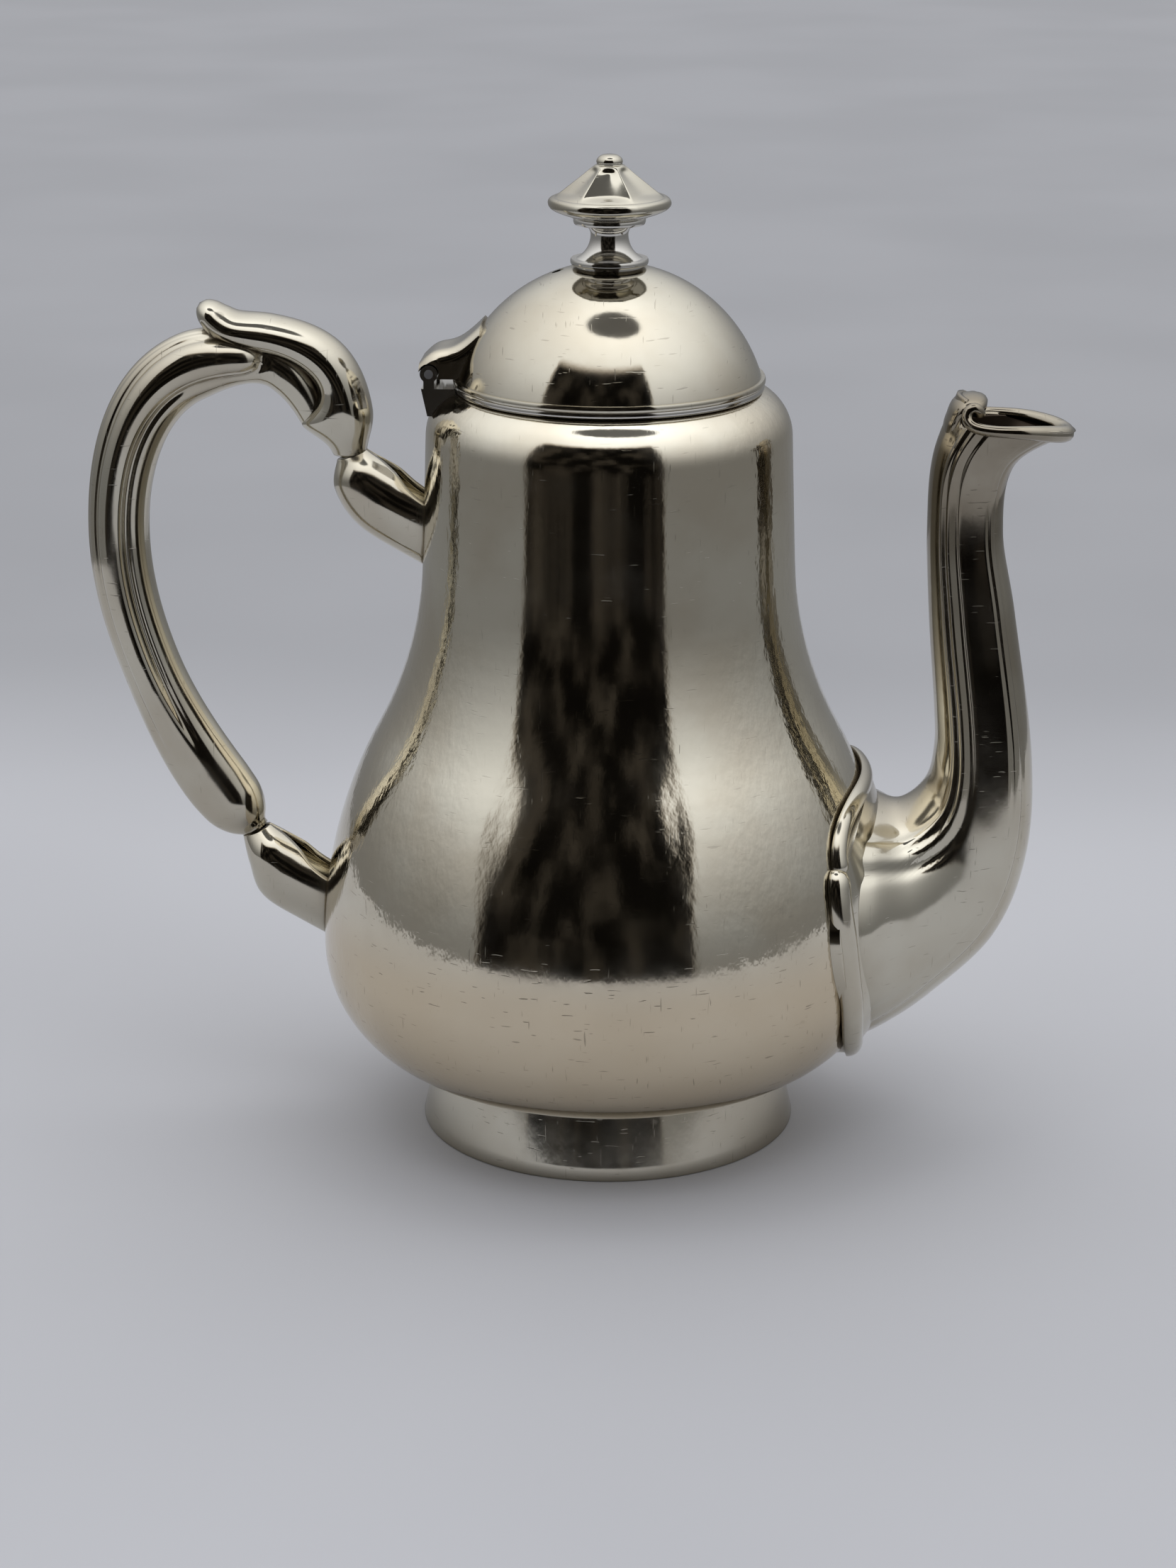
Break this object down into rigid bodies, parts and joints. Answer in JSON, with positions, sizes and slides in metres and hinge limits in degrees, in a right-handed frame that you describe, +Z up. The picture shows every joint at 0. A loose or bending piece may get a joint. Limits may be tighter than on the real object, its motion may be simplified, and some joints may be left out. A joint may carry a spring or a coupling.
{
  "type": "coffee pot",
  "caption": "Pear-shaped metal coffee pot on a foot ring, with a swan-neck spout, a reeded loop handle on open sockets and a hinged dome lid with a fluted finial.",
  "frame": {"origin": "on the body's axis, in the plane that the foot stands on", "axes": "+Z up along the body's axis, +X towards the spout, -X towards the handle, the mid-plane of spout and handle is y = 0"},
  "size_m": [0.2022, 0.12, 0.2048],
  "materials": {
    "silver_plate": "polished silver plate, lightly tarnished and scratched",
    "steel": "plain turned steel"
  },
  "bodies": {
    "pot": {"body_bowl": "silver_plate", "body_bottom": "silver_plate", "body_neck": "silver_plate", "mouth_ring": "silver_plate", "foot_ring": "silver_plate", "spout_near_half": "silver_plate", "spout_far_half": "silver_plate", "spout_flange": "silver_plate", "handle_near_half": "silver_plate", "handle_far_half": "silver_plate", "thumb_leaf": "silver_plate", "upper_socket": "silver_plate", "lower_socket": "silver_plate", "hinge_bracket": "silver_plate", "body_knuckles": "silver_plate", "hinge_pin": "steel"},
    "lid": {"lid_dome": "silver_plate", "lid_rim": "silver_plate", "lid_bezel": "silver_plate", "hinge_hood": "silver_plate", "lid_knuckle": "silver_plate", "finial_spool": "silver_plate", "finial_cap": "silver_plate", "finial_stud": "steel", "finial_washer": "steel", "finial_nut": "steel"}
  },
  "joints": [
    {"name": "lid_hinge", "type": "hinge", "parent": "pot", "child": "lid", "pos_m": [-0.0359, 0, 0.1614], "axis": [0, -1, 0], "range_deg": [0, 95]}
  ]
}
